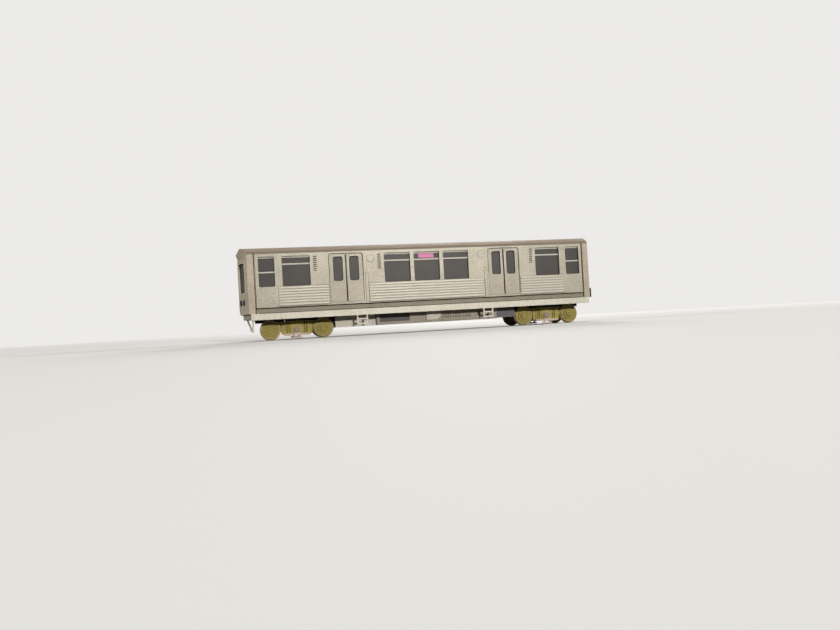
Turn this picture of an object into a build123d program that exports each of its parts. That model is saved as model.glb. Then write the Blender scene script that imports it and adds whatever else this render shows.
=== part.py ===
from build123d import *
from math import cos, pi, sin
import os

# Display model of a metro car, built up from layers of cut card.
# Millimetres. X runs along the car, Y from the near side to the far side, Z up.
# The origin is under the middle of the car, on the surface that the wheels stand on.
# Each side and each end is drawn once. A half turn about Z gives its twin.

os.makedirs("parts", exist_ok=True)


# -------------------------------------------------------------- plan of the car
CORNER_X = 102.0         # middle of the car to the corner of a side
NOSE_OUT = 5.3           # corner to the flat front of an end
SIDE_Y = 20.0            # centre line to the face of a side panel
NOSE_HALF = 4.4          # half the width of the flat front

NOSE_X = CORNER_X + NOSE_OUT
SLANT = (NOSE_OUT ** 2 + (SIDE_Y - NOSE_HALF) ** 2) ** 0.5

# -------------------------------------------------------------- heights, upwards
WHEEL_R = 5.9
WHEEL_GAP = 0.5          # wheel to the underside of the floor
FLOOR_T = 2.9
SILL_DROP = 0.6          # sill below the underside of the floor
RECESS_H = 3.2           # dull strip between the sill and the side panel
FOOT_GAP = 0.6           # dark gap between that strip and the side panel
FOOT_SLOT = 0.4          # dark slot between the strip and the sill
PANEL_H = 29.9
EAVES_H = 1.2
ROOF_IN = 0.3            # roof's edge behind the face of a side
CROWN_H = 4.0

FLOOR_Z = 2 * WHEEL_R + WHEEL_GAP
FLOOR_TOP_Z = FLOOR_Z + FLOOR_T
SILL_LOW_Z = FLOOR_Z - SILL_DROP
PANEL_LOW_Z = FLOOR_TOP_Z + RECESS_H
PANEL_TOP_Z = PANEL_LOW_Z + PANEL_H
EAVES_Z = PANEL_TOP_Z + EAVES_H
CROWN_Z = EAVES_Z + CROWN_H

# ----------------------------------------------------------- thickness of layers
PANEL_T = 1.0            # outer card of a side
FRAME_T = 0.5            # card behind it, whose bars cross the windows
DARK_T = 0.5             # dark card behind the windows
LEAF_T = 0.6             # door leaves
SILL_T = 1.4
END_T = 1.0

POST_W = 3.6             # corner post along the side
POST_GAP = 0.8           # gap between a post and the side panel
POST_X = CORNER_X - POST_W
PANEL_X = POST_X - POST_GAP
SILL_X = CORNER_X - 1.1

FRAME_Y = SIDE_Y - PANEL_T
DARK_Y = FRAME_Y - FRAME_T
CORE_Y = DARK_Y - DARK_T

# ----------------------------------------------------------------------- windows
WIN_LOW = 11.5           # foot of the panel to a window
WIN_HEAD = 1.6           # window to the top of the panel
WIN_R = 0.8
BAR_H = 0.8
BAR_DROP = 4.4           # head of a window to the middle of its bar
HEAD_H = 0.9             # strip of the card behind that shows at a window's head

WIN_H = PANEL_H - WIN_LOW - WIN_HEAD
BAR = WIN_LOW + WIN_H - BAR_DROP
END_BAR = WIN_LOW + 0.482 * WIN_H

WIN_LOW_Z = PANEL_LOW_Z + WIN_LOW
WIN_TOP_Z = WIN_LOW_Z + WIN_H

# columns: middle x, width, height of the bar above the foot of the panel
WINDOWS = [
    (-91.5, 8.8, END_BAR),
    (-75.2, 15.5, BAR),
    (-17.6, 15.3, BAR),
    (0.0, 15.3, BAR),
    (17.6, 15.3, BAR),
    (75.2, 15.5, BAR),
    (91.5, 8.8, END_BAR),
]

# ------------------------------------------------------------------------- doors
DOOR_X = 47.2            # middle of the car to the middle of a doorway
DOOR_W = 19.4
DOOR_FOOT = 1.0          # strip of panel under a doorway
DOOR_HEAD = 1.1          # doorway to the top of the panel
DOOR_R = 1.3
DOOR_GAP = 0.8
DOOR_CLEAR = 0.25        # gap round the leaves in a doorway
SLIT_IN = 0.6            # end of a doorway to the end of the slit behind its gap
LEAF_WIN_EDGE = 1.4      # meeting edge of a leaf to its window
LEAF_RAIL = 2.3          # outer edge of a leaf to its window
LEAF_WIN_LOW = 13.1      # foot of the panel to a leaf's window
LEAF_WIN_HEAD = 1.7      # leaf's window to the head of the doorway
LEAF_WIN_R = 1.2
DOORS = [-DOOR_X, DOOR_X]

DOOR_H = PANEL_H - DOOR_FOOT - DOOR_HEAD
LEAF_W = (DOOR_W - DOOR_GAP) / 2
LEAF_WIN_W = LEAF_W - LEAF_RAIL - LEAF_WIN_EDGE
LEAF_WIN_X = DOOR_GAP / 2 + LEAF_WIN_EDGE + LEAF_WIN_W / 2
LEAF_WIN_H = DOOR_FOOT + DOOR_H - LEAF_WIN_LOW - LEAF_WIN_HEAD

DOOR_LOW_Z = PANEL_LOW_Z + DOOR_FOOT
LEAF_WIN_LOW_Z = PANEL_LOW_Z + LEAF_WIN_LOW

# ----------------------------------------------------------------------- louvres
LOUVRE_W = 2.0
LOUVRE_HEAD = 2.01       # top louvre to the top of the panel
LOUVRE_PITCH = 1.13
LOUVRE_SLOT = 0.55
LOUVRE_SLOTS = 8
LOUVRE_DEPTH = 0.6
LOUVRES = [-64.6, -28.1, 64.6]
LOUVRE_LOW = PANEL_H - LOUVRE_HEAD - LOUVRE_SLOTS * LOUVRE_PITCH + LOUVRE_SLOT

# ----------------------------------------------------------------- fluted panels
FLUTE_LOW = 0.5
FLUTE_PITCH = 1.55
FLUTE_RIBS = 7
FLUTE_BASE = 0.15
FLUTE_RISE = 0.4
FLUTE_FLAT = 0.7         # width of a rib's outer face

# columns: left x, right x
FLUTES = [
    (-85.3, -DOOR_X - DOOR_W / 2 - 0.4),
    (-34.5, 34.5),
    (DOOR_X + DOOR_W / 2 + 0.4, 85.3),
]

# ------------------------------------------------- small raised pieces of a side
TRIM_T = 0.25
STRIP_X = 35.6
STRIP_W = 1.5
STRIP_HEAD = 12.3        # top of the strip to the top of the panel
DISC_X = 33.1
DISC_DROP = 4.5          # top of the panel to the middle of a disc
DISC_R = 2.1
STRIP_H = PANEL_H - STRIP_HEAD

SIGN_W = 9.2
SIGN_H = 2.5
SIGN_T = 0.3
SIGN_Z = WIN_TOP_Z - 2.3

# -------------------------------------------------------------------------- ends
END_WIN_U = 2.0          # middle of a slanting face to the middle of its window
END_WIN_W = 10.6
END_WIN_LOW = 8.8
END_WIN_HEAD = 4.1       # window to the top of the end
END_DOOR_W = 7.4
END_DOOR_T = 0.4
END_DOOR_HEAD = 2.0      # door to the top of the end
END_DOOR_RAIL = 1.3      # frame round the door's window
HOOD_OUT = 1.0           # how far the roof stands out over the flat front
HOOD_H = 2.9             # height of the slope under it
ROOF_SLOPE = 28.0        # lean of the roof's end from upright, in degrees
LAMP_R = 1.6
LAMP_T = 0.5
LAMP_UP = 3.6            # height above the foot of the side panel
LAMPS_U = [-0.5, 5.1]
BUMPER_IN = 7.9          # middle of a slanting face to the near edge of a corner piece
BUMPER_W = 4.6
BUMPER_H = 5.6
BUMPER_T = 0.9

END_WIN_H = PANEL_H - END_WIN_LOW - END_WIN_HEAD
END_DOOR_H = PANEL_H - END_DOOR_HEAD

# ------------------------------------------------------------------------ wheels
TRUCK_X = 76.2           # middle of the car to a truck's pivot
AXLE_X = 14.95           # truck's pivot to an axle
WHEEL_IN_Y = 9.7         # centre line to a wheel's inner face
WHEEL_T = 1.9
RIM_W = 0.65             # outer ring that lies lower than the face
RIM_DROP = 0.9
RING_R = 3.4
RING_RISE = 0.35
HUB_R = 1.7
HUB_RISE = 0.35
AXLE_R = 0.9
RUN = 0.06               # clearance of an axle or pivot in its hole

TREAD_R = WHEEL_R - RIM_W
FACE_Y = WHEEL_IN_Y + WHEEL_T

# ------------------------------------------------------------------------ trucks
CARD_GAP = 0.3           # side card to a wheel's inner face
CARD_T = 1.2
CARD_LOW_Z = WHEEL_R - 3.0
CARD_TOP_Z = WHEEL_R + 4.5
ARM_R = 3.6              # half width of the end of a side card, behind a wheel
ARM_ROUND = 1.6
ARM_STEP = 1.4           # foot of a side card up to the foot of its arms
RIM_CLEAR = 0.4          # wheel rim to the plates between the wheels
PLATE_T = 1.3
PLATE_STEP = 1.9         # upper plate is shorter at each end by this
UPPER_T = 0.5
BOLSTER_HALF = 4.0       # cross piece between the side cards
BOLSTER_TOP_HALF = 6.3   # dark bolster on top of it
BOLSTER_LOW = 1.2        # above the axles' middle
BOLSTER_GAP = 0.1        # bolster's pad to the floor
PIVOT_R = 1.8

CARD_OUT_Y = WHEEL_IN_Y - CARD_GAP
CARD_IN_Y = CARD_OUT_Y - CARD_T
PLATE_HALF = AXLE_X - WHEEL_R - RIM_CLEAR
PLATE_Y = CARD_OUT_Y + PLATE_T
UPPER_Y = PLATE_Y + UPPER_T

DISC_PLATE_R = 3.2
DISC_PLATE_T = 0.4
PAD_R = 2.1
PAD_T = 0.9
PAD_Z = 5.5
SHOE_T = 0.8
SHOE_HALF = 7.2
BOSS_R = 1.7
BOSS_Z = 2.8
BEAM_LOW_Z = 2.1
BEAM_H = 1.0
SHOE_W = 6.0
SHOE_H = 0.85
NECK_W = 4.0
NECK_BAR = 0.9
SHOE_LOW_Z = 0.5

# -------------------------------------------------------------------- underfloor
BOX_CLEAR = 0.95         # wheel rim to the nearest box
BOX_REACH = TRUCK_X - AXLE_X - WHEEL_R - BOX_CLEAR
BATTERY_Y = 12.6
RUN_Y = 14.4
BOX_LOW_Z = 5.3
BATTERY_RIGHT = -30.9
RUN_LEFT = -30.5
RUN_RIGHT = 43.0
GROOVE = 0.4
CELL_LEFT = -42.5        # grooves between the battery's boxes
CELL_RIGHT = -37.5
RECESS_T = 1.2
RECESS_LEFT = -28.7
RECESS_RIGHT = -11.0
RECESS_LOW_Z = 7.0
NOTCH_LEFT = 30.6
NOTCH_RIGHT = 32.6
HATCH_LEFT = -0.7
HATCH_RIGHT = 8.6
HATCH_LOW_Z = 6.7
HATCH_CUT = 3.0          # slanting corner
HATCH_T = 0.7
VENT_T = 0.5
HOLE = 0.75
HOLE_PITCH = 1.35
GROUP_PITCH = 5.9
HOLE_ROWS = [7.6, 9.15]
STEP_W = 6.2
STEP_T = 0.8
STEP_H = 5.3
STEP_BAR = 0.75
STEP_LEFT = -39.5
STEP_RIGHT = 35.8
STEPS = [STEP_LEFT, STEP_RIGHT]


# ----------------------------------------------------------------------- helpers
def block(x0, x1, y0, y1, z0, z1):
    """A box between two corners."""
    centre = Pos((x0 + x1) / 2, (y0 + y1) / 2, (z0 + z1) / 2)
    return centre * Box(x1 - x0, y1 - y0, z1 - z0)


def side_sheet(outline, outer_y, inner_y):
    """A card of the near side: an outline in x and z, between two distances from the centre line."""
    return extrude(Plane.XZ.offset(inner_y) * outline, amount=outer_y - inner_y)


def plain(x0, x1, low, top):
    """A rectangle between two corners."""
    return Pos((x0 + x1) / 2, (low + top) / 2) * Rectangle(x1 - x0, top - low)


def pane(x, width, low, height, radius):
    """A rectangle with rounded corners, as a knife cuts them: three short straight cuts each."""
    points = []
    for corner, (across_x, up) in enumerate([(1, 1), (-1, 1), (-1, -1), (1, -1)]):
        for cut in range(4):
            turn = (corner + cut / 3) * pi / 2
            centre_x = x + across_x * (width / 2 - radius)
            centre_z = low + height / 2 + up * (height / 2 - radius)
            points.append((centre_x + radius * cos(turn), centre_z + radius * sin(turn)))
    return Polygon(*points, align=None)


def hole(radius, sides):
    """A many-sided hole that a round pin of the radius turns in."""
    return RegularPolygon(radius / cos(pi / sides), sides)


def half_turn(shape):
    """The same card on the other side, or the other end."""
    return Rot(0, 0, 180) * shape


def across(shape):
    """The mirror image over the car's centre line."""
    return mirror(shape, about=Plane.XZ)


def plan(inset, back_x):
    """The outline of one end seen from above, moved in by inset, from back_x to the nose."""
    along_x = NOSE_OUT / SLANT
    along_y = (SIDE_Y - NOSE_HALF) / SLANT
    side_y = SIDE_Y - inset
    nose_x = NOSE_X - inset
    corner_x = CORNER_X - inset * (1 - along_x) / along_y
    nose_y = SIDE_Y - (along_y * (nose_x - CORNER_X) + inset) / along_x
    points = [
        (back_x, -side_y),
        (corner_x, -side_y),
        (nose_x, -nose_y),
        (nose_x, nose_y),
        (corner_x, side_y),
        (back_x, side_y),
    ]
    return Polygon(*points, align=None)


def save(name, *shapes):
    """Write one node as a STEP file."""
    solids = []
    for shape in shapes:
        solids.extend(shape.solids())
    whole = solids[0] if len(solids) == 1 else Compound(children=solids)
    export_step(whole, "parts/" + name + ".step")
    print(name, len(solids), "solids")


def save_twins(table, first, second):
    """Write each node of a side or an end, and its twin after a half turn."""
    for label, make in table:
        made = make()
        pieces = made if isinstance(made, list) else [made]
        save(label + first, *pieces)
        save(label + second, *[half_turn(piece) for piece in pieces])


# --------------------------------------------------------------- cards of a side
def doorway(x):
    return pane(x, DOOR_W, DOOR_LOW_Z, DOOR_H, DOOR_R)


def leaf_outline(x):
    width = DOOR_W - 2 * DOOR_CLEAR
    height = DOOR_H - 2 * DOOR_CLEAR
    return pane(x, width, DOOR_LOW_Z + DOOR_CLEAR, height, DOOR_R - DOOR_CLEAR)


def leaf_window(x, side):
    return pane(x + side * LEAF_WIN_X, LEAF_WIN_W, LEAF_WIN_LOW_Z, LEAF_WIN_H, LEAF_WIN_R)


def side_panel():
    """The outer card, with its windows and doorways cut out and its louvres cut in."""
    card = plain(-PANEL_X, PANEL_X, PANEL_LOW_Z, PANEL_TOP_Z)
    for x, width, bar in WINDOWS:
        card -= pane(x, width, WIN_LOW_Z, WIN_H, WIN_R)
    for x in DOORS:
        card -= doorway(x)
    panel = side_sheet(card, SIDE_Y, FRAME_Y)
    for x in LOUVRES:
        for i in range(LOUVRE_SLOTS):
            low = PANEL_LOW_Z + LOUVRE_LOW + i * LOUVRE_PITCH
            slot = plain(x - LOUVRE_W / 2, x + LOUVRE_W / 2, low, low + LOUVRE_SLOT)
            panel -= side_sheet(slot, SIDE_Y + 1, SIDE_Y - LOUVRE_DEPTH)
    return panel


def frame_card():
    """The card behind the panel. It is cut into panes, so its bars cross the windows."""
    card = plain(-PANEL_X - 0.4, PANEL_X + 0.4, PANEL_LOW_Z + FOOT_SLOT, PANEL_TOP_Z)
    for x, width, bar in WINDOWS:
        left = x - width / 2 - 0.3
        right = x + width / 2 + 0.3
        middle = PANEL_LOW_Z + bar
        card -= plain(left, right, WIN_LOW_Z - 0.3, middle - BAR_H / 2)
        card -= plain(left, right, middle + BAR_H / 2, WIN_TOP_Z - HEAD_H)
    for x in DOORS:
        for side in (-1, 1):
            left = x + side * LEAF_WIN_X - LEAF_WIN_W / 2 - 0.3
            low = LEAF_WIN_LOW_Z - 0.3
            card -= plain(left, left + LEAF_WIN_W + 0.6, low, low + LEAF_WIN_H + 0.6)
        half = DOOR_GAP / 2
        card -= plain(x - half, x + half, DOOR_LOW_Z + SLIT_IN, DOOR_LOW_Z + DOOR_H - SLIT_IN)
    return side_sheet(card, FRAME_Y, DARK_Y)


def foot_card():
    """The dull strip under the panel, on the edge of the floor, with a slot along the sill."""
    card = plain(-PANEL_X - 0.4, PANEL_X + 0.4, FLOOR_Z, PANEL_LOW_Z - FOOT_GAP)
    card -= plain(-PANEL_X + 1, PANEL_X - 1, FLOOR_TOP_Z, FLOOR_TOP_Z + FOOT_SLOT)
    return side_sheet(card, FRAME_Y, DARK_Y)


def window_card():
    """The dark card that shows through every window."""
    card = plain(-PANEL_X + 0.4, PANEL_X - 0.4, WIN_LOW_Z - 1.6, PANEL_TOP_Z)
    return side_sheet(card, DARK_Y, CORE_Y)


def door_leaves():
    """Two leaves in each doorway, a little below the face of the panel, with a gap between them."""
    leaves = []
    for x in DOORS:
        for side in (-1, 1):
            near = x + side * DOOR_GAP / 2
            far = x + side * DOOR_W / 2
            leaf = plain(min(near, far), max(near, far), DOOR_LOW_Z, DOOR_LOW_Z + DOOR_H)
            leaf = (leaf & leaf_outline(x)) - leaf_window(x, side)
            leaves.append(side_sheet(leaf, FRAME_Y + LEAF_T, FRAME_Y))
    return leaves


def fluted_panels():
    """The ribbed panels under the windows: one profile of ribs, drawn along each panel's length."""
    strips = []
    low = PANEL_LOW_Z + FLUTE_LOW
    for left, right in FLUTES:
        points = [(-SIDE_Y, low)]
        for i in range(FLUTE_RIBS):
            foot = low + i * FLUTE_PITCH
            middle = foot + FLUTE_PITCH / 2
            points.append((-SIDE_Y - FLUTE_BASE, foot))
            points.append((-SIDE_Y - FLUTE_RISE, middle - FLUTE_FLAT / 2))
            points.append((-SIDE_Y - FLUTE_RISE, middle + FLUTE_FLAT / 2))
        top = low + FLUTE_RIBS * FLUTE_PITCH
        points.append((-SIDE_Y - FLUTE_BASE, top))
        points.append((-SIDE_Y, top))
        profile = Plane.YZ.offset(left) * Polygon(*points, align=None)
        strips.append(extrude(profile, amount=right - left, dir=(1, 0, 0)))
    return strips


def side_trim():
    """A narrow round-topped strip beside each doorway, and a bare disc above it."""
    pieces = []
    for side in (-1, 1):
        strip = pane(side * STRIP_X, STRIP_W, PANEL_LOW_Z, STRIP_H, STRIP_W / 2 - 0.01)
        strip += plain(side * STRIP_X - STRIP_W / 2, side * STRIP_X + STRIP_W / 2,
                       PANEL_LOW_Z, PANEL_LOW_Z + STRIP_W)
        pieces.append(side_sheet(strip, SIDE_Y + TRIM_T, SIDE_Y))
        disc = Pos(side * DISC_X, PANEL_TOP_Z - DISC_DROP) * RegularPolygon(DISC_R, 18)
        pieces.append(side_sheet(disc, SIDE_Y + TRIM_T, SIDE_Y))
    return pieces


def sign_card():
    """The small bright card in the upper pane of the middle window."""
    return side_sheet(Pos(0, SIGN_Z) * Rectangle(SIGN_W, SIGN_H), DARK_Y + SIGN_T, DARK_Y)


def sill():
    """The pale strip along the foot of a side."""
    return side_sheet(plain(-SILL_X, SILL_X, SILL_LOW_Z, FLOOR_TOP_Z), FRAME_Y + SILL_T, FRAME_Y)


def steps():
    """Ladders with two rungs that hang from the sill."""
    ladders = []
    low = SILL_LOW_Z - STEP_H
    rung = low + 0.52 * STEP_H
    for x in STEPS:
        half = STEP_W / 2 - STEP_BAR
        card = plain(x - STEP_W / 2, x + STEP_W / 2, low, SILL_LOW_Z)
        card -= plain(x - half, x + half, low + STEP_BAR, rung)
        card -= plain(x - half, x + half, rung + STEP_BAR, SILL_LOW_Z)
        ladders.append(side_sheet(card, FRAME_Y + SILL_T, FRAME_Y + SILL_T - STEP_T))
    return ladders


save_twins([
    ("side_panel", side_panel),
    ("frame_card", frame_card),
    ("foot_card", foot_card),
    ("window_card", window_card),
    ("door_leaves", door_leaves),
    ("fluted_panels", fluted_panels),
    ("side_trim", side_trim),
    ("sign_card", sign_card),
    ("sill", sill),
    ("steps", steps),
], "_near", "_far")


# ---------------------------------------------------------------- floor and roof
def floor_board():
    """A board the shape of the car, with a hole for each truck's pivot."""
    end = extrude(plan(PANEL_T + FRAME_T, 0), amount=FLOOR_T)
    board = Pos(0, 0, FLOOR_Z) * (end + half_turn(end))
    for x in (-TRUCK_X, TRUCK_X):
        board -= Pos(x, 0, FLOOR_Z - 1) * extrude(hole(PIVOT_R + RUN, 24), amount=2 * FLOOR_T)
    return board


def lip_plan():
    """The roof's outline over one end, which stands out over the flat front."""
    edge = SIDE_Y - ROOF_IN
    half = NOSE_HALF + 0.2
    points = [
        (-edge, -edge),
        (CORNER_X, -edge),
        (NOSE_X + HOOD_OUT, -half),
        (NOSE_X + HOOD_OUT, half),
        (CORNER_X, edge),
        (-edge, edge),
    ]
    return Polygon(*points, align=None)


def roof():
    """A low arch over a short upright edge. Its ends lean back from the lips."""
    edge = SIDE_Y - ROOF_IN
    reach = NOSE_X + HOOD_OUT + 1
    outline = Polyline((-edge, EAVES_Z), (-edge, PANEL_TOP_Z), (edge, PANEL_TOP_Z), (edge, EAVES_Z))
    arch = ThreePointArc((edge, EAVES_Z), (0, CROWN_Z), (-edge, EAVES_Z))
    profile = Plane.YZ.offset(-reach) * make_face(outline + arch)
    bar = extrude(profile, amount=2 * reach, dir=(1, 0, 0))
    foot = Pos(0, 0, PANEL_TOP_Z) * extrude(plan(ROOF_IN, -edge), amount=EAVES_H)
    lean = Pos(0, 0, EAVES_Z) * extrude(lip_plan(), amount=CROWN_H + 1, taper=ROOF_SLOPE)
    end = foot + lean
    return bar & (end + half_turn(end))


save("floor_board", floor_board())
save("roof", roof())


# -------------------------------------------------------------------------- ends
NEAR_FACE = Plane(
    origin=((CORNER_X + NOSE_X) / 2, -(SIDE_Y + NOSE_HALF) / 2, 0),
    x_dir=(NOSE_OUT, SIDE_Y - NOSE_HALF, 0),
    z_dir=(SIDE_Y - NOSE_HALF, -NOSE_OUT, 0),
)


def on_face(outline, back, front):
    """A shape on the near slanting face, from one depth to another along its normal."""
    return extrude(NEAR_FACE.offset(back) * outline, amount=front - back)


def door_window():
    low = PANEL_LOW_Z + END_DOOR_H * 0.58
    high = PANEL_LOW_Z + END_DOOR_H - 2.0
    return pane(0, END_DOOR_W - 2 * END_DOOR_RAIL, low, high - low, WIN_R)


def end_wall():
    """The end's three faces and its two corner posts, folded from one card."""
    wall = plan(0, POST_X) - plan(END_T, POST_X - 1)
    wall = Pos(0, 0, FLOOR_TOP_Z) * extrude(wall, amount=PANEL_TOP_Z - FLOOR_TOP_Z)
    window = pane(END_WIN_U, END_WIN_W, PANEL_LOW_Z + END_WIN_LOW, END_WIN_H, WIN_R)
    window = on_face(window, -3 * END_T, 3 * END_T)
    wall -= window
    wall -= across(window)
    opening = Plane.YZ.offset(NOSE_X - 3 * END_T) * door_window()
    return wall - extrude(opening, amount=6 * END_T, dir=(1, 0, 0))


def end_window_card():
    """The dark card behind the end's windows."""
    low = PANEL_LOW_Z + END_WIN_LOW - 1.5
    card = plan(END_T, CORNER_X - 1) - plan(END_T + DARK_T, CORNER_X - 2)
    return Pos(0, 0, low) * extrude(card, amount=PANEL_LOW_Z + END_DOOR_H - 0.5 - low)


def end_door():
    """The door in the flat front, on the face of the end."""
    low = FLOOR_TOP_Z + 0.8
    outline = pane(0, END_DOOR_W, low, PANEL_LOW_Z + END_DOOR_H - low, 0.6) - door_window()
    return extrude(Plane.YZ.offset(NOSE_X) * outline, amount=END_DOOR_T, dir=(1, 0, 0))


def end_hood():
    """The slope under the roof's lip, from nothing at the corners to its full reach in the middle."""
    low = Plane.XY.offset(EAVES_Z - HOOD_H) * Polygon(
        (CORNER_X, -SIDE_Y + ROOF_IN),
        (NOSE_X, -NOSE_HALF),
        (NOSE_X, NOSE_HALF),
        (CORNER_X, SIDE_Y - ROOF_IN),
        align=None,
    )
    top = Plane.XY.offset(EAVES_Z) * Polygon(
        (CORNER_X, -SIDE_Y + ROOF_IN),
        (NOSE_X + HOOD_OUT, -NOSE_HALF - 0.2),
        (NOSE_X + HOOD_OUT, NOSE_HALF + 0.2),
        (CORNER_X, SIDE_Y - ROOF_IN),
        align=None,
    )
    hood = loft([low, top], ruled=True)
    inside = extrude(plan(0, 0), amount=PANEL_TOP_Z)
    above = Pos(0, 0, PANEL_TOP_Z) * extrude(plan(ROOF_IN, 0), amount=2 * EAVES_H)
    hood = hood - inside - above
    return [piece for piece in hood.solids() if piece.volume > 0.5]


def end_lamps():
    """Round lamps in pairs on the slanting faces."""
    lamps = []
    for u in LAMPS_U:
        disc = Pos(u, PANEL_LOW_Z + LAMP_UP) * RegularPolygon(LAMP_R, 14)
        lamp = on_face(disc, 0, LAMP_T)
        lamps.append(lamp)
        lamps.append(across(lamp))
    return lamps


save_twins([
    ("end_wall", end_wall),
    ("end_window_card", end_window_card),
    ("end_door", end_door),
    ("end_hood", end_hood),
    ("end_lamps", end_lamps),
], "_right", "_left")


def end_step():
    """The loop that hangs under the left end. It narrows towards its foot."""
    top = FLOOR_Z
    low = FLOOR_Z - 7.2
    outer = Polygon((-7.6, top), (-7.6, low), (-4.6, low), (3.6, top), align=None)
    inner = Polygon((-6.8, top), (-6.8, low + 0.8), (-5.0, low + 0.8), (2.3, top), align=None)
    card = on_face(outer - inner, -2.6, -1.8)
    return half_turn(across(card))


def end_bumper():
    """Dark corner pieces at the foot of the right end."""
    low = FLOOR_TOP_Z
    strip = pane(BUMPER_W / 2 - BUMPER_IN, BUMPER_W, low, BUMPER_H, 0.7)
    piece = on_face(strip, 0, BUMPER_T)
    return [piece, across(piece)]


save("end_step", end_step())
save("end_bumper", *end_bumper())


# -------------------------------------------------------------------- underfloor
def battery_box():
    """Three boxes side by side, parted by grooves on both faces."""
    box = block(-BOX_REACH, BATTERY_RIGHT, -BATTERY_Y, BATTERY_Y, BOX_LOW_Z, FLOOR_Z)
    for x in (CELL_LEFT, CELL_RIGHT):
        groove = block(x - GROOVE / 2, x + GROOVE / 2, -BATTERY_Y - 1, -BATTERY_Y + GROOVE, 0, FLOOR_Z)
        box -= groove
        box -= across(groove)
    return box


def equipment_run():
    """The long box between the trucks, with a recess and a notch in each face."""
    run = block(RUN_LEFT, RUN_RIGHT, -RUN_Y, RUN_Y, BOX_LOW_Z, FLOOR_Z)
    recess = block(RECESS_LEFT, RECESS_RIGHT, -RUN_Y - 1, -RUN_Y + RECESS_T, RECESS_LOW_Z, FLOOR_Z - 0.6)
    notch = block(NOTCH_LEFT, NOTCH_RIGHT, -RUN_Y - 1, -RUN_Y + RECESS_T, RECESS_LOW_Z + 0.8, FLOOR_Z + 1)
    run -= recess
    run -= across(recess)
    run -= notch
    return run - across(notch)


def end_box():
    """The dark box next to the right truck."""
    return block(RUN_RIGHT + 0.2, BOX_REACH, -RUN_Y, RUN_Y, BOX_LOW_Z + 0.4, FLOOR_Z)


def recess_card():
    """The dark card at the back of the recess."""
    card = plain(RECESS_LEFT, RECESS_RIGHT, RECESS_LOW_Z, FLOOR_Z - 0.6)
    return side_sheet(card, RUN_Y - RECESS_T + 0.3, RUN_Y - RECESS_T)


def hatch():
    """A pale cover with one slanting corner."""
    points = [
        (HATCH_LEFT, FLOOR_Z),
        (HATCH_LEFT, HATCH_LOW_Z),
        (HATCH_RIGHT - HATCH_CUT, HATCH_LOW_Z),
        (HATCH_RIGHT, HATCH_LOW_Z + HATCH_CUT),
        (HATCH_RIGHT, FLOOR_Z),
    ]
    return side_sheet(Polygon(*points, align=None), RUN_Y + HATCH_T, RUN_Y)


def vent_card():
    """A card with rows of small square holes in three groups."""
    left = HATCH_RIGHT + 0.3
    card = plain(left, left + 3 * GROUP_PITCH + 0.3, BOX_LOW_Z + 0.6, FLOOR_Z)
    for low in HOLE_ROWS:
        for group in range(3):
            for i in range(4):
                x = left + 0.7 + group * GROUP_PITCH + i * HOLE_PITCH
                card -= plain(x, x + HOLE, low, low + HOLE)
    return side_sheet(card, RUN_Y + VENT_T, RUN_Y)


save("battery_box", battery_box())
save("equipment_run", equipment_run())
save("end_box", end_box())
for label, make in [("recess_card", recess_card), ("hatch", hatch), ("vent_card", vent_card)]:
    piece = make()
    save(label + "_near", piece)
    save(label + "_far", across(piece))


# ---------------------------------------------------------------- wheels, trucks
def wheelset(x):
    """One axle with its two wheels, whose layers step in from the rim to the hub."""
    ring_y = FACE_Y + RING_RISE
    half = side_sheet(RegularPolygon(WHEEL_R, 48), FACE_Y - RIM_DROP, WHEEL_IN_Y)
    half += side_sheet(RegularPolygon(TREAD_R, 32), FACE_Y, FACE_Y - RIM_DROP)
    half += side_sheet(RegularPolygon(RING_R, 24), ring_y, FACE_Y)
    half += side_sheet(RegularPolygon(HUB_R, 16), ring_y + HUB_RISE, ring_y)
    half += side_sheet(RegularPolygon(AXLE_R, 16), WHEEL_IN_Y, 0)
    return Pos(x, 0, WHEEL_R) * (half + across(half))


def truck_frame(x):
    """Two side cards with plates on them, joined by a bolster that carries the pivot."""
    outline = plain(-AXLE_X, AXLE_X, CARD_LOW_Z + ARM_STEP, CARD_TOP_Z)
    outline += plain(-PLATE_HALF, PLATE_HALF, CARD_LOW_Z, CARD_TOP_Z)
    for side in (-1, 1):
        low = WHEEL_R - ARM_R
        outline += pane(side * AXLE_X, 2 * ARM_R, low, CARD_TOP_Z - low, ARM_ROUND)
    for side in (-1, 1):
        outline -= Pos(side * AXLE_X, WHEEL_R) * hole(AXLE_R + RUN, 16)
    plate = plain(-PLATE_HALF, PLATE_HALF, CARD_LOW_Z, CARD_TOP_Z)
    upper_half = PLATE_HALF - PLATE_STEP
    upper = plain(-upper_half, upper_half, CARD_LOW_Z, CARD_TOP_Z)
    near = side_sheet(outline, CARD_OUT_Y, CARD_IN_Y)
    near += side_sheet(plate, PLATE_Y, CARD_OUT_Y)
    near += side_sheet(upper, UPPER_Y, PLATE_Y)
    disc = Pos(0, WHEEL_R) * RegularPolygon(DISC_PLATE_R, 24)
    near += side_sheet(disc, UPPER_Y + DISC_PLATE_T, UPPER_Y)
    frame = near + across(near)
    reach = CARD_IN_Y + CARD_T / 6
    frame += block(-BOLSTER_HALF, BOLSTER_HALF, -reach, reach, WHEEL_R + BOLSTER_LOW, CARD_TOP_Z)
    return Pos(x, 0, 0) * frame


def truck_bolster(x):
    """The dark block on top of a truck, with the pivot that turns in the floor."""
    top = FLOOR_Z - BOLSTER_GAP
    bolster = block(-BOLSTER_TOP_HALF, BOLSTER_TOP_HALF, -PLATE_Y, PLATE_Y, CARD_TOP_Z, top)
    bolster += Pos(0, 0, top) * extrude(RegularPolygon(PIVOT_R, 24), amount=0.83 * FLOOR_T)
    return Pos(x, 0, 0) * bolster


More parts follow.
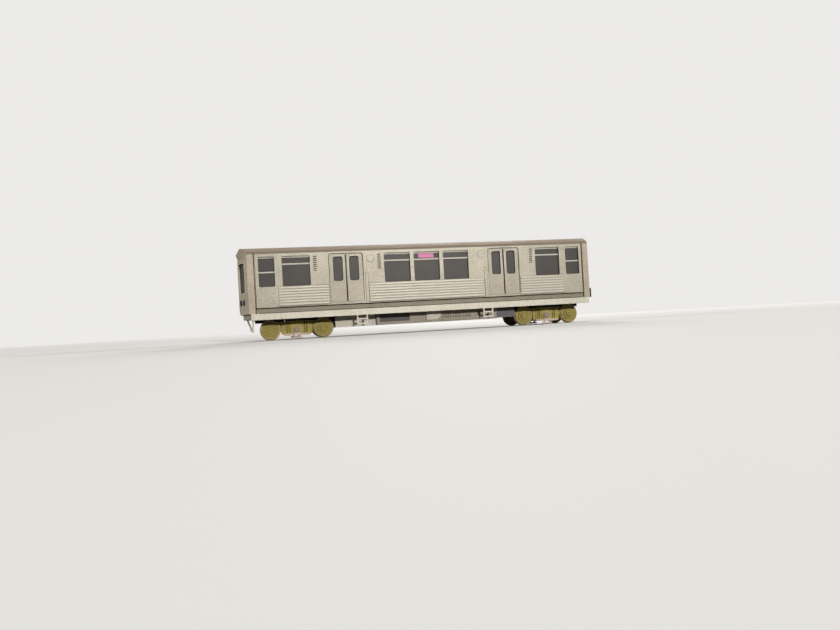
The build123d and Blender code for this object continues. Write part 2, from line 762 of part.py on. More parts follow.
def shoe_gear(x):
    """Outside the truck's plates: a round pad, the beam below it and the shoe."""
    face = UPPER_Y + DISC_PLATE_T
    outer = face + PAD_T
    pad = side_sheet(Pos(0, PAD_Z) * RegularPolygon(PAD_R, 18), outer, face)
    boss = Pos(0, BOSS_Z) * RegularPolygon(BOSS_R, 16)
    beam = plain(-SHOE_HALF, SHOE_HALF, BEAM_LOW_Z, BEAM_LOW_Z + BEAM_H)
    inner = NECK_W / 2 - NECK_BAR
    neck = plain(-NECK_W / 2, NECK_W / 2, SHOE_LOW_Z, BOSS_Z)
    shoe = plain(-SHOE_W / 2, SHOE_W / 2, SHOE_LOW_Z, SHOE_LOW_Z + SHOE_H)
    gap = plain(-inner, inner, SHOE_LOW_Z + SHOE_H, BEAM_LOW_Z)
    near = pad + side_sheet(boss + beam + neck + shoe - gap, outer, outer - SHOE_T)
    return [Pos(x, 0, 0) * near, Pos(x, 0, 0) * across(near)]


for label, side in [("left", -1), ("right", 1)]:
    centre = side * TRUCK_X
    save("truck_frame_" + label, truck_frame(centre))
    save("truck_bolster_" + label, truck_bolster(centre))
    save("shoe_gear_" + label, *shoe_gear(centre))
    save("wheelset_" + label + "_outer", wheelset(centre + side * AXLE_X))
    save("wheelset_" + label + "_inner", wheelset(centre - side * AXLE_X))
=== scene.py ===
# %% [markdown]
# # A metro car cut from layered card
#
# The object is a small display model of a metro car, about 1:70. Its sides are three layers of
# card: an outer panel with windows and doorways cut out, a second card whose bars cross the
# windows, and a dark card that shows through as glass. Ribbed strips, strips beside the doors
# and discs are glued on top. The CAD solids hold these layers already, so this script keeps
# them and gives each card its finish. It adds what is too fine for the solids: rims, cut lines
# that are partly scorch and partly painted shade, bezels, rings on the wheels, bars and pads on
# the trucks. It also adds dark cards of painted shade behind the slots and inside each side, and
# dark beams of painted shade under the floor.

# %% Load the model that was packed from the CAD source
import bpy
import numpy as np
from mathutils import Matrix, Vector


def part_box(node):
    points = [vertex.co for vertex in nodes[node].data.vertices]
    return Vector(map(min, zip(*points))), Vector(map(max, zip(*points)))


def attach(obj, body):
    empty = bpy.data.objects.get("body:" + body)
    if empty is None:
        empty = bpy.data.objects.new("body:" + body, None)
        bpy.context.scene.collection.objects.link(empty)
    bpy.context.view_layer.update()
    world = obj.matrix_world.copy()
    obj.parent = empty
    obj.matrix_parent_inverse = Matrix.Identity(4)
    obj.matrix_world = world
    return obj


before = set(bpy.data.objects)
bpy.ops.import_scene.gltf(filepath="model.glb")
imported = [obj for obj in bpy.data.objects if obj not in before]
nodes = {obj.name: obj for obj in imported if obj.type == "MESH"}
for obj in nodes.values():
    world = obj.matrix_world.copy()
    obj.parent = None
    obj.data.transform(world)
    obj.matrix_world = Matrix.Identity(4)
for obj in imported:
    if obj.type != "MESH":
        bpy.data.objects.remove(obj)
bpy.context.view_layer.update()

# %% [markdown]
# ## The camera
#
# The photograph was taken from a little below the model, which leaned back. Here the model
# stands on a floor, so the camera comes up to just above that floor and turns until the near
# side falls where the photograph has it. The lens, 28.5 mm on a 36 mm wide sensor, is kept
# as its focal length in pixels of the photograph. A camera's turn is kept as three directions:
# where the picture's right side, its top and the camera's back point to. They are rounded, so
# the nearest true turn is taken from them.

# %% The camera of the photograph
MM = 0.001
FOCAL_PIXELS, PHOTO_PIXELS, SENSOR_MM = 664.6, 840.0, 36.0
CAMERA_AT = (-88.69, -397.70, 6.0)
right = np.array([0.97531, -0.21344, -0.05669])
down = np.array([-0.05329, 0.02163, -0.99834])
ahead = np.cross(right, down)
turn = np.stack([right, -down, -ahead])
turn = np.linalg.svd(turn)[0] @ np.linalg.svd(turn)[2]

lens = bpy.data.cameras.new("lens")
lens.sensor_width = SENSOR_MM
lens.lens = SENSOR_MM * FOCAL_PIXELS / PHOTO_PIXELS
lens.clip_start = 0.01
lens.clip_end = 100.0
camera = bpy.data.objects.new("camera", lens)
bpy.context.scene.collection.objects.link(camera)
matrix = np.eye(4)
matrix[:3, :3] = turn.T
matrix[:3, 3] = np.array(CAMERA_AT) * MM
camera.matrix_world = Matrix(matrix.tolist())
bpy.context.scene.camera = camera
print("lens in mm:", round(lens.lens, 2), "camera at:", matrix[:3, 3].round(4))

# %% [markdown]
# ## Finishes: what card looks like
#
# Two effects are shared by every card on the model, so each is a node group that is built
# once. Pearl card has mica flakes pressed into it: tiny cells that are a little lighter or
# darker than their neighbours, over soft clouds where the sheet took up more or less lacquer.
# The cut edge of a card has another tone than its face, mostly a darker one, and the layers of
# the card show in it as thin bands.
#
# An image of a sheet of card would do for one view, but it would need unwrapping and it would
# blur from close by. Noise in Object coordinates has no seams and is sharp at any distance.

# %% Helpers that build node groups
def new_group(name, inputs, outputs):
    """An empty shader node group with named sockets; inputs are (name, kind, value)."""
    group = bpy.data.node_groups.new(name, "ShaderNodeTree")
    for title, kind, value in inputs:
        socket = group.interface.new_socket(title, in_out="INPUT", socket_type="NodeSocket" + kind)
        socket.default_value = value
    for title, kind in outputs:
        group.interface.new_socket(title, in_out="OUTPUT", socket_type="NodeSocket" + kind)
    start = group.nodes.new("NodeGroupInput")
    end = group.nodes.new("NodeGroupOutput")
    return group, start, end


def maths(tree, operation, a, b=0.0, clamp=False):
    """One Math node; a and b are sockets or numbers. Returns its output."""
    node = tree.nodes.new("ShaderNodeMath")
    node.operation = operation
    node.use_clamp = clamp
    for socket, value in zip(node.inputs, (a, b)):
        if isinstance(value, bpy.types.NodeSocket):
            tree.links.new(value, socket)
        else:
            socket.default_value = value
    return node.outputs[0]


def mixed(tree, factor, a, b):
    """One colour Mix node; returns its colour."""
    node = tree.nodes.new("ShaderNodeMix")
    node.data_type = "RGBA"
    for socket, value in zip((node.inputs[0], node.inputs[6], node.inputs[7]), (factor, a, b)):
        if isinstance(value, bpy.types.NodeSocket):
            tree.links.new(value, socket)
        else:
            socket.default_value = value
    return node.outputs[2]


def noise(tree, where, scale, detail=2.0, roughness=0.5):
    """A noise texture on the given coordinates; scale is waves per metre."""
    node = tree.nodes.new("ShaderNodeTexNoise")
    node.inputs["Scale"].default_value = scale
    node.inputs["Detail"].default_value = detail
    node.inputs["Roughness"].default_value = roughness
    tree.links.new(where, node.inputs["Vector"])
    return node.outputs["Fac"]


# %% Pearl flakes and clouds
FLAKES, FINE_CLOUDS, WIDE_CLOUDS = 3600.0, 900.0, 110.0
FLAKE_MIDDLE, FINE_SHARE, FLAKE_ROUGH = 0.45, 1.7, 0.25


def build_pearl():
    """Flakes are Voronoi cells 0.28 mm across whose own grey pushes the tone up or down; clouds
    are noise with waves of 1.1 mm and 9 mm. Tone is one plus both, each times its strength."""
    group, start, end = new_group(
        "pearl",
        [("Flake", "Float", 0.2), ("Cloud", "Float", 0.15)],
        [("Tone", "Float"), ("Height", "Float"), ("Rough", "Float")],
    )
    where = group.nodes.new("ShaderNodeTexCoord").outputs["Object"]
    cells = group.nodes.new("ShaderNodeTexVoronoi")
    cells.inputs["Scale"].default_value = FLAKES
    group.links.new(where, cells.inputs["Vector"])
    grey = group.nodes.new("ShaderNodeRGBToBW")
    group.links.new(cells.outputs["Color"], grey.inputs[0])
    flake = maths(group, "SUBTRACT", grey.outputs[0], FLAKE_MIDDLE)
    fine = maths(group, "SUBTRACT", noise(group, where, FINE_CLOUDS, 3.0, 0.6), 0.5)
    wide = maths(group, "SUBTRACT", noise(group, where, WIDE_CLOUDS, 2.0), 0.5)
    clouds = maths(group, "ADD", maths(group, "MULTIPLY", fine, FINE_SHARE), wide)
    tone = maths(group, "MULTIPLY", flake, start.outputs["Flake"])
    tone = maths(group, "ADD", tone, maths(group, "MULTIPLY", clouds, start.outputs["Cloud"]))
    group.links.new(maths(group, "ADD", tone, 1.0), end.inputs["Tone"])
    group.links.new(maths(group, "ADD", grey.outputs[0], fine), end.inputs["Height"])
    group.links.new(maths(group, "MULTIPLY", flake, FLAKE_ROUGH), end.inputs["Rough"])
    return group


pearl = build_pearl()
print("pearl group nodes:", len(pearl.nodes))

# %% Cut edges
EDGE_FROM, EDGE_RATE = 0.86, 5.0
PLY_TURNS, PLY_WOBBLE = 26180.0, 700.0


def build_cut_edge():
    """Edge: EDGE_FROM less the largest of |normal . axis| over four axes, times EDGE_RATE and
    kept within 0 and 1, so it is 0 on the card's own face and 1 on its cut edge.
    Ply: thin bands along the first axis, 0.24 mm apart, as the layers show in a thick edge:
    the sine of PLY_TURNS, in radians per metre, times the distance, plus a noise."""
    group, start, end = new_group(
        "cut_edge",
        [("Axis %d" % (i + 1), "Vector", (0, 1, 0)) for i in range(4)],
        [("Edge", "Float"), ("Ply", "Float")],
    )
    coordinates = group.nodes.new("ShaderNodeTexCoord")
    normal = coordinates.outputs["Normal"]
    best = None
    for i in range(4):
        dot = group.nodes.new("ShaderNodeVectorMath")
        dot.operation = "DOT_PRODUCT"
        group.links.new(normal, dot.inputs[0])
        group.links.new(start.outputs[i], dot.inputs[1])
        size = maths(group, "ABSOLUTE", dot.outputs["Value"])
        best = size if best is None else maths(group, "MAXIMUM", best, size)
    away = maths(group, "SUBTRACT", EDGE_FROM, best)
    group.links.new(maths(group, "MULTIPLY", away, EDGE_RATE, clamp=True), end.inputs["Edge"])
    through = group.nodes.new("ShaderNodeVectorMath")
    through.operation = "DOT_PRODUCT"
    group.links.new(coordinates.outputs["Object"], through.inputs[0])
    group.links.new(start.outputs[0], through.inputs[1])
    wobble = noise(group, coordinates.outputs["Object"], PLY_WOBBLE)
    layers = maths(group, "ADD", maths(group, "MULTIPLY", through.outputs["Value"], PLY_TURNS), wobble)
    group.links.new(maths(group, "SINE", layers), end.inputs["Ply"])
    return group


cut_edge = build_cut_edge()
print("cut edge group nodes:", len(cut_edge.nodes))

# %% [markdown]
# ## One recipe for every card
#
# A card's material is its colour times the pearl tone, its cut edge mixed in where the face
# turns away, a fine bump from the flakes, and the sheen of the lacquer. Colours are given from
# 0 to 255, chosen so that the picture comes near the photograph, and turned into the linear
# values that the shader works with.

# %% The card recipe
def linear(r, g, b):
    """A colour of 0 to 255 in linear light: below 0.04045 the value over 12.92, above it
    ((value + 0.055) / 1.055) to the power 2.4."""
    c = np.array([r, g, b]) / 255.0
    c = np.where(c <= 0.04045, c / 12.92, ((c + 0.055) / 1.055) ** 2.4)
    return (*c.tolist(), 1.0)


SIDE = [(0, 1, 0)] * 4
LEVEL = [(0, 0, 1)] * 4
RIBS = [(0, 1, 0), (0, 0.86, 0.5), (0, 0.86, -0.5), (0, 1, 0)]
SLANT = [(0.947, 0.322, 0), (0.947, -0.322, 0), (1, 0, 0), (0, 1, 0)]
WORN, PLY_SHARE, BUMP_STRENGTH = 1.5, 0.35, 0.6


def card(name, colour, edge, axes=SIDE, flake=0.1, cloud=0.1, metal=0.0, rough=0.6, bump=0.03, gloss=0.35):
    """A card material: colour and edge are 0 to 255, axes are the directions the card's face
    looks along, flake and cloud are the strengths of the pearl, and bump is in mm."""
    material = bpy.data.materials.new(name)
    material.use_nodes = True
    tree = material.node_tree
    shader = tree.nodes["Principled BSDF"]
    grain = tree.nodes.new("ShaderNodeGroup")
    grain.node_tree = pearl
    grain.inputs["Flake"].default_value = flake
    grain.inputs["Cloud"].default_value = cloud
    edges = tree.nodes.new("ShaderNodeGroup")
    edges.node_tree = cut_edge
    for i, axis in enumerate(axes):
        edges.inputs[i].default_value = axis
    toned = tree.nodes.new("ShaderNodeVectorMath")
    toned.operation = "SCALE"
    toned.inputs[0].default_value = linear(*colour)[:3]
    tree.links.new(grain.outputs["Tone"], toned.inputs["Scale"])
    worn = tuple(min(1.0, WORN * v) for v in linear(*edge)[:3]) + (1.0,)
    ply = maths(tree, "MULTIPLY", maths(tree, "ADD", edges.outputs["Ply"], 1.0), PLY_SHARE)
    cut = mixed(tree, ply, linear(*edge), worn)
    face = mixed(tree, edges.outputs["Edge"], toned.outputs[0], cut)
    tree.links.new(face, shader.inputs["Base Color"])
    tree.links.new(maths(tree, "ADD", grain.outputs["Rough"], rough), shader.inputs["Roughness"])
    shader.inputs["Metallic"].default_value = metal
    shader.inputs["Specular IOR Level"].default_value = gloss
    raised = tree.nodes.new("ShaderNodeBump")
    raised.inputs["Strength"].default_value = BUMP_STRENGTH
    raised.inputs["Distance"].default_value = bump * MM
    tree.links.new(grain.outputs["Height"], raised.inputs["Height"])
    tree.links.new(raised.outputs["Normal"], shader.inputs["Normal"])
    return material


# %% [markdown]
# ## The cards of this model
#
# The panels are a warm silver pearl card, the corner posts and ends the same card in a duller
# sheet. The sill is paler and brighter. The trucks and wheels are a dull olive. The boxes
# under the floor are pale card, one in grey, with a dark grey card in the recess, whose tone is
# partly painted shade.

# %% Materials by finish
silver = card(
    "silver_pearl_card", (184, 177, 160), (104, 92, 70), flake=0.44, cloud=0.45, metal=0.27, rough=0.43)
# The ribbed strips get a lighter colour than the panels: partly their own card, partly painted highlight
# along the ribs.
rib_card_painted_highlight = card(
    "rib_card_painted_highlight", (206, 199, 184), (150, 140, 118), RIBS,
    flake=0.2, cloud=0.15, metal=0.34, rough=0.4, bump=0.015)
silver_end = card("silver_pearl_end", (187, 174, 154), (104, 92, 70), SLANT, 0.32, 0.4, 0.22, 0.42)
behind = card("second_card", (206, 200, 188), (120, 108, 86), flake=0.2, cloud=0.25, metal=0.18, rough=0.5)
# The foot strip is darker than the second card above it: partly its own duller card, partly painted shade
# under the panel's foot.
foot_card = card("foot_card", (150, 141, 124), (100, 90, 72), flake=0.2, cloud=0.35, metal=0.2, rough=0.55)
leaf_card = card(
    "door_leaf_card", (183, 175, 157), (100, 88, 67), flake=0.38, cloud=0.35, metal=0.22, rough=0.45)
# The roof is darker and duller than the sides: partly its own card, partly painted shade over the roof.
roof_card = card("roof_card", (150, 136, 121), (142, 130, 115), LEVEL, 0.22, 0.3, 0.0, 0.7, gloss=0.06)
sill_card = card(
    "sill_card", (228, 222, 203), (178, 166, 142), flake=0.22, cloud=0.26, metal=0.1, rough=0.45)
window_card = card(
    "window_card", (76, 70, 65), (60, 56, 52), flake=0.05, cloud=0.22, rough=0.42, gloss=0.38)
sign_card = card("sign_card", (255, 160, 204), (220, 102, 150), flake=0.04, cloud=0.08, rough=0.6)
floor_card = card("floor_card", (118, 108, 94), (158, 148, 130), LEVEL, 0.2, 0.25, 0.2, 0.55)
step_card = card("step_card", (240, 232, 220), (214, 202, 186), flake=0.06, cloud=0.12, rough=0.6)
# Dark card of the lamps, bumpers and bolsters; on the beams under the floor this colour is painted shade.
dark_card = card("dark_card", (60, 57, 60), (48, 46, 48), flake=0.1, cloud=0.25, rough=0.6, gloss=0.15)
truck_card = card(
    "truck_card", (186, 170, 96), (140, 125, 68), flake=0.2, cloud=0.45, rough=0.62, gloss=0.2)
rim_ring_card = card("wheel_rim_card", (204, 178, 134), (208, 182, 142), flake=0.14, cloud=0.3, rough=0.62)
shoe_card = card("shoe_card", (222, 202, 190), (206, 186, 172), flake=0.1, cloud=0.25, rough=0.6)
box_card = card("box_card", (172, 162, 144), (136, 126, 108), flake=0.16, cloud=0.3, rough=0.55)
pale_card = card("pale_card", (222, 214, 198), (168, 156, 136), flake=0.14, cloud=0.2, rough=0.55)
grey_card = card("grey_card", (110, 108, 108), (84, 82, 82), flake=0.12, cloud=0.25, rough=0.55)
# Dark lines along the cuts: partly laser scorch, partly painted shade along cut and raised edges.
scorch_and_shade = card("scorch_and_shade_cut", (96, 84, 62), (96, 84, 62), flake=0.1, cloud=0.4, rough=0.7)
scorched_olive = card("scorched_olive", (114, 101, 50), (114, 101, 50), flake=0.1, cloud=0.3, rough=0.7)
# Painted shade: a dark sheet standing for the shade inside the louvre slots.
painted_slot_shade = card("painted_slot_shade", (92, 83, 72), (80, 72, 62), flake=0.05, cloud=0.2, rough=0.8)
# Painted shade: a darker sheet standing for the shade in the vent's holes and inside the body.
painted_deep_shade = card("painted_deep_shade", (52, 46, 42), (44, 40, 36), flake=0.05, cloud=0.2, rough=0.8)
bezel_card = card("bezel_card", (96, 94, 96), (96, 94, 96), flake=0.1, cloud=0.15, rough=0.45)
pad_card = card("pad_card", (164, 150, 124), (150, 136, 112), flake=0.1, cloud=0.3, rough=0.65)
# The recess card's dark grey is partly its own colour, partly painted shade in the recess.
recess_grey_and_shade = card("recess_grey_and_shade", (96, 92, 92), (76, 73, 73), flake=0.12, cloud=0.25, rough=0.55)
print("materials:", len(bpy.data.materials))

# %% Which card each solid is cut from
FINISHES = [
    ("side_panel", silver), ("fluted_panels", rib_card_painted_highlight), ("side_trim", silver), ("frame_card", behind),
    ("foot_card", foot_card), ("door_leaves", leaf_card), ("window_card", window_card),
    ("sign_card", sign_card), ("sill", sill_card), ("steps", step_card), ("floor_board", floor_card),
    ("roof", roof_card), ("end_wall", silver_end), ("end_door", silver_end), ("end_hood", silver_end),
    ("end_window_card", window_card), ("end_lamps", dark_card), ("end_step", step_card),
    ("end_bumper", dark_card), ("battery_box", pale_card), ("equipment_run", box_card),
    ("end_box", grey_card), ("recess_card", recess_grey_and_shade), ("hatch", pale_card),
    ("vent_card", box_card), ("truck_bolster", dark_card), ("truck_frame", truck_card),
    ("wheelset", truck_card), ("shoe_gear", shoe_card),
]


def finish_for(name):
    """The finish whose name starts the node's name, the longest such name first."""
    matches = [(len(stem), material) for stem, material in FINISHES if name.startswith(stem)]
    return max(matches, key=lambda pair: pair[0])[1]


for name, solid in nodes.items():
    solid.data.materials.clear()
    solid.data.materials.append(finish_for(name))
print("solids with a finish:", sum(1 for solid in nodes.values() if solid.data.materials))

# %% [markdown]
# ## Surfaces worked out with numpy
#
# Most added pieces are grids of points, a function of two parameters. `join_grids` turns such
# grids into faces, closed along the second parameter and mostly along the first, and
# `solid_mesh` makes the piece and lets it ride on its body. `carry` makes a grid by carrying a
# small closed profile along a path on a flat card, which is how rims and cut lines are made.
# `lathe` turns a profile about a wheel's axle. Modelling these by hand in edit mode would work
# for one, but there are dozens and they all follow the same sizes.

# %% From points to a finished piece
def solid_mesh(name, points, faces, material, slot, body, smooth=True):
    """Points in mm and faces of equal size as a finished piece that rides on a body."""
    mesh = bpy.data.meshes.new(name)
    mesh.from_pydata((np.asarray(points) * MM).tolist(), [], np.asarray(faces).tolist())
    mesh.polygons.foreach_set("use_smooth", np.full(len(mesh.polygons), smooth))
    mesh.update()
    piece = bpy.data.objects.new(name, mesh)
    bpy.context.scene.collection.objects.link(piece)
    mesh.materials.append(material)
    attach(piece, body)
    return piece


def turned(points):
    """The twin of a piece after a half turn about the car's upright axis: x and y change sign."""
    return points * np.array([-1.0, -1.0, 1.0])


def join_grids(grids, close_u=True):
    """Several equal grids as one set of points and faces: each grid's face numbers are moved
    on by the points before it. The last column meets the first, and so does the last row
    unless close_u is false."""
    n, m = grids[0].shape[:2]
    i = np.arange(n if close_u else n - 1)
    j = np.arange(m)
    a, b = np.meshgrid(i, j, indexing="ij")
    a2, b2 = (a + 1) % n, (b + 1) % m
    one = np.stack([a * m + b, a2 * m + b, a2 * m + b2, a * m + b2], axis=-1).reshape(-1, 4)
    points = np.concatenate([g.reshape(-1, 3) for g in grids])
    faces = np.concatenate([one + k * n * m for k in range(len(grids))])
    return points, faces


def together(parts):
    """Several (points, faces) as one: each part's face numbers move on by the points before it."""
    starts = np.cumsum([0] + [len(part[0]) for part in parts[:-1]])
    points = np.concatenate([part[0] for part in parts])
    return points, np.concatenate([part[1] + start for part, start in zip(parts, starts)])


print("a piece joins its grids, rides on its body and takes one card")

# %% Carry a profile round a rounded rectangle
BEAD_FOOT = 0.05


def ring_path(x, z, width, height, radius, steps=5):
    """A rectangle with round corners in x and z, as points and outward directions: each corner
    is a quarter circle, x = centre + radius cos t, z = centre + radius sin t."""
    t = (np.arange(4)[:, None] + np.linspace(0, 1, steps)[None, :]) * np.pi / 2
    sign_x = np.array([1, -1, -1, 1])[:, None]
    sign_z = np.array([1, 1, -1, -1])[:, None]
    out = np.stack([np.cos(t), np.sin(t)], axis=-1)
    middle_x = x + sign_x * (width / 2 - radius) + 0 * t
    middle_z = z + sign_z * (height / 2 - radius) + 0 * t
    centre = np.stack([middle_x, middle_z], axis=-1)
    return (centre + radius * out).reshape(-1, 2), out.reshape(-1, 2)


def half_round(wide, high, count=7):
    """A flat-backed bead: across = -wide/2 cos t, up = high sin t for t from 0 to pi, and its
    flat foot, sunk into the card."""
    t = np.linspace(0, np.pi, count)
    rise = np.stack([-wide / 2 * np.cos(t), high * np.sin(t)], -1)
    return np.concatenate([[[-wide / 2, -BEAD_FOOT]], rise, [[wide / 2, -BEAD_FOOT]]])


def carry(path, out, profile, y):
    """The profile carried round the path on a card that faces -Y at y: a point is the path plus
    the profile's across along the outward direction, and its up towards -Y."""
    flat = path[:, None, :] + out[:, None, :] * profile[None, :, :1]
    depth = y - np.broadcast_to(profile[None, :, 1], flat.shape[:2])
    return np.stack([flat[..., 0], depth, flat[..., 1]], axis=-1)[:, ::-1]


print("points of a bead's section:", len(half_round(0.4, 0.16)))

# %% [markdown]
# ## Beads round the door windows
#
# On the model each door window has a pale rim. A painted line would be flat, and the rim has to
# catch the light, so a bead 0.42 mm wide is carried round each window on the near side. A half
# turn of the car gives the far side.

# %% Leaf window rims
DOORS = (-47.2, 47.2)
LEAF_WIN_X, LEAF_WIN_LOW, LEAF_WIN_W, LEAF_WIN_H, LEAF_WIN_R = 4.6, 13.1, 5.6, 14.0, 1.2
RIM_OUT, RIM_BEAD = 0.2, (0.42, 0.16)
panel_low, leaf_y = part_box("side_panel_near")[0][2] / MM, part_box("door_leaves_near")[0][1] / MM
rim_z = panel_low + LEAF_WIN_LOW + LEAF_WIN_H / 2
rim_size = (LEAF_WIN_W + 2 * RIM_OUT, LEAF_WIN_H + 2 * RIM_OUT, LEAF_WIN_R + RIM_OUT)
rims = []
for door in DOORS:
    for side in (-1, 1):
        path, out = ring_path(door + side * LEAF_WIN_X, rim_z, *rim_size)
        rims.append(carry(path, out, half_round(*RIM_BEAD), leaf_y))
rim_card = card("rim_card", (224, 218, 200), (214, 206, 186), flake=0.15, cloud=0.1, metal=0.2, rough=0.45)
points, faces = join_grids(rims)
solid_mesh("leaf_window_rims_near", points, faces, rim_card, "silver_card", "car_body")
solid_mesh("leaf_window_rims_far", turned(points), faces, rim_card, "silver_card", "car_body")
print("leaf rims:", len(rims), "a side, faces", len(faces))

# %% [markdown]
# ## Scorched cut lines and painted shade lines
#
# A laser leaves a brown line where it has gone through or along a card. The dark lines here are
# partly that scorch and partly painted shade along the cut and raised edges. They outline the
# doorways, the ribbed panels, the strips beside the doors and the discs. A doorway's line goes
# over its head and part of the way down. Each line is a thin ribbon, 0.03 mm proud, carried
# round the same outline as the piece it follows.

# %% Ribbons round the pieces of a side
RIBBON_UP, RIBBON_FOOT = 0.03, 0.04


def ribbon(wide):
    """A flat-topped ribbon: out from -wide/2 to wide/2, and its foot sunk in the card."""
    foot, top = -RIBBON_FOOT, RIBBON_UP
    return np.array([[-wide / 2, foot], [-wide / 2, top], [wide / 2, top], [wide / 2, foot]])


def side_lines(outlines, wide, y):
    """One ribbon for each (x, z, width, height, radius) of a side, on a card that faces -Y at y."""
    grids = []
    for x, z, width, height, radius in outlines:
        path, out = ring_path(x, z, width, height, radius)
        grids.append(carry(path, out, ribbon(wide), y))
    return join_grids(grids)


def arch(x, z, width, height, radius, drop, steps=5):
    """The top of a rounded rectangle and both sides down by drop, as an open path."""
    path, out = ring_path(x, z, width, height, radius, steps)
    low = z + height / 2 - drop
    path = np.concatenate([[[x + width / 2, low]], path[:2 * steps], [[x - width / 2, low]]])
    out = np.concatenate([[[1.0, 0.0]], out[:2 * steps], [[-1.0, 0.0]]])
    return path, out


print("corners of a ribbon's section:", len(ribbon(0.16)))

# %% Cut lines of both sides
DOOR_LINE, FLUTE_LINE, TRIM_LINE = 0.16, 0.15, 0.24
DOOR_W, DOOR_FOOT, DOOR_HEAD, DOOR_LINE_R, DOOR_LINE_H = 19.4, 1.0, 1.1, 1.38, 14.0
FLUTES = ((-85.3, -57.3), (-34.5, 34.5), (57.3, 85.3))
FLUTE_LOW, FLUTE_TOP, FLUTE_OUT, FLUTE_LINE_R = 0.5, 11.35, 0.2, 0.12
STRIP_X, STRIP_W, STRIP_H, STRIP_OUT, STRIP_LINE_R = 35.6, 1.5, 17.6, 0.16, 0.8
DISC_X, DISC_DROP, DISC_LINE_W, DISC_LINE_R = 33.1, 4.5, 4.3, 2.149

panel_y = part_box("side_panel_near")[0][1] / MM
panel_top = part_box("side_panel_near")[1][2] / MM
door_low, door_top = panel_low + DOOR_FOOT, panel_top - DOOR_HEAD
door_size = (DOOR_W + DOOR_LINE, door_top - door_low + DOOR_LINE, DOOR_LINE_R)
doorways = [(door, (door_low + door_top) / 2, *door_size) for door in DOORS]
flute_z = (panel_low + FLUTE_LOW + panel_low + FLUTE_TOP) / 2
flute_h = FLUTE_TOP - FLUTE_LOW + FLUTE_OUT
fluted = [((x0 + x1) / 2, flute_z, x1 - x0 + FLUTE_OUT, flute_h, FLUTE_LINE_R) for x0, x1 in FLUTES]
strip_size = (STRIP_W + STRIP_OUT, STRIP_H + STRIP_OUT, STRIP_LINE_R)
strips = [(side * STRIP_X, panel_low + STRIP_H / 2, *strip_size) for side in (-1, 1)]
disc_size = (DISC_LINE_W, DISC_LINE_W, DISC_LINE_R)
discs = [(side * DISC_X, panel_top - DISC_DROP, *disc_size) for side in (-1, 1)]
arches = [carry(*arch(*doorway, DOOR_LINE_H), ribbon(DOOR_LINE), panel_y) for doorway in doorways]
flute_lines = side_lines(fluted, FLUTE_LINE, panel_y)
trim_lines = side_lines(strips + discs, TRIM_LINE, panel_y)
points, faces = together([flute_lines, trim_lines, join_grids(arches, close_u=False)])
solid_mesh("scorch_and_shade_lines_near", points, faces, scorch_and_shade, "silver_card", "car_body", smooth=False)
solid_mesh("scorch_and_shade_lines_far", turned(points), faces, scorch_and_shade, "silver_card", "car_body", smooth=False)
print("outlines on a side:", len(doorways + fluted + strips + discs))

# %% [markdown]
# ## Painted shade in the small slots
#
# The louvres and the rows of square holes look dark on the model, from the shade that lies in
# them. The solids' slots are shallow, so lit card would show at their backs, and a dark card lies
# in the back of each as painted shade. It is a sheet about a tenth of a millimetre thick, the
# eight corners of a box.

# %% Dark cards of painted shade behind the louvres
def slab(x0, x1, y0, y1, z0, z1):
    """A closed sheet as points and faces: the eight corners of its box, by sign."""
    foot = [[0, 0, 0], [1, 0, 0], [1, 1, 0], [0, 1, 0]]
    corner = np.array(foot + [[0, 0, 1], [1, 0, 1], [1, 1, 1], [0, 1, 1]])
    low, high = np.array([x0, y0, z0]), np.array([x1, y1, z1])
    faces = np.array([[0, 3, 2, 1], [4, 5, 6, 7], [0, 1, 5, 4], [1, 2, 6, 5], [2, 3, 7, 6], [3, 0, 4, 7]])
    return low + corner * (high - low), faces


def slabs(boxes):
    """Several sheets as one piece."""
    return together([slab(*box) for box in boxes])


LOUVRES, LOUVRE_SLOTS = (-64.6, -28.1, 64.6), 8
LOUVRE_W, LOUVRE_HEAD, LOUVRE_PITCH, LOUVRE_SLOT = 2.0, 2.01, 1.13, 0.55
SHEET_FRONT, SHEET_BACK, SHEET_LAP = 0.5, 0.62, 0.02
louvre_low = panel_top - LOUVRE_HEAD - LOUVRE_SLOTS * LOUVRE_PITCH + LOUVRE_SLOT
sheet_half = LOUVRE_W / 2 + SHEET_LAP
sheet_y = (panel_y + SHEET_FRONT, panel_y + SHEET_BACK)
lows = [louvre_low + i * LOUVRE_PITCH for i in range(LOUVRE_SLOTS)]
louvre_backs = [
    (x - sheet_half, x + sheet_half, *sheet_y, low - SHEET_LAP, low + LOUVRE_SLOT + SHEET_LAP)
    for x in LOUVRES for low in lows
]
points, faces = slabs(louvre_backs)
solid_mesh("louvre_backs_near", points, faces, painted_slot_shade, "window_card", "car_body", smooth=False)
solid_mesh("louvre_backs_far", turned(points), faces, painted_slot_shade, "window_card", "car_body", smooth=False)
print("louvre sheets a side:", len(louvre_backs))

# %% Dark cards of painted shade behind the vent's holes
# The holes stand in groups, whose pitch is VENT_SHORT less than a third of the vent card. One
# dark sheet, painted shade, lies behind each row of a group.
VENT_GROUPS, VENT_SHORT, GROUP_START, GROUP_END = 3, 0.1, 0.55, 5.65
VENT_ROWS, ROW_DOWN, ROW_UP = (7.6, 9.15), 0.15, 0.9
VENT_FRONT, VENT_BACK = 0.1, 0.01
vent_low, vent_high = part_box("vent_card_near")
vent_x, vent_y = vent_low[0] / MM, vent_high[1] / MM
group_pitch = (vent_high[0] - vent_low[0]) / VENT_GROUPS / MM - VENT_SHORT
starts = [vent_x + group * group_pitch for group in range(VENT_GROUPS)]
for side, label in ((1, "near"), (-1, "far")):
    vent_sheet_y = sorted((side * (vent_y - VENT_FRONT), side * (vent_y - VENT_BACK)))
    holes = [
        (start + GROUP_START, start + GROUP_END, *vent_sheet_y, row - ROW_DOWN, row + ROW_UP)
        for start in starts for row in VENT_ROWS
    ]
    points, faces = slabs(holes)
    solid_mesh("vent_back_" + label, points, faces, painted_deep_shade, "window_card", "car_body", smooth=False)
print("vent sheets a side:", len(holes))
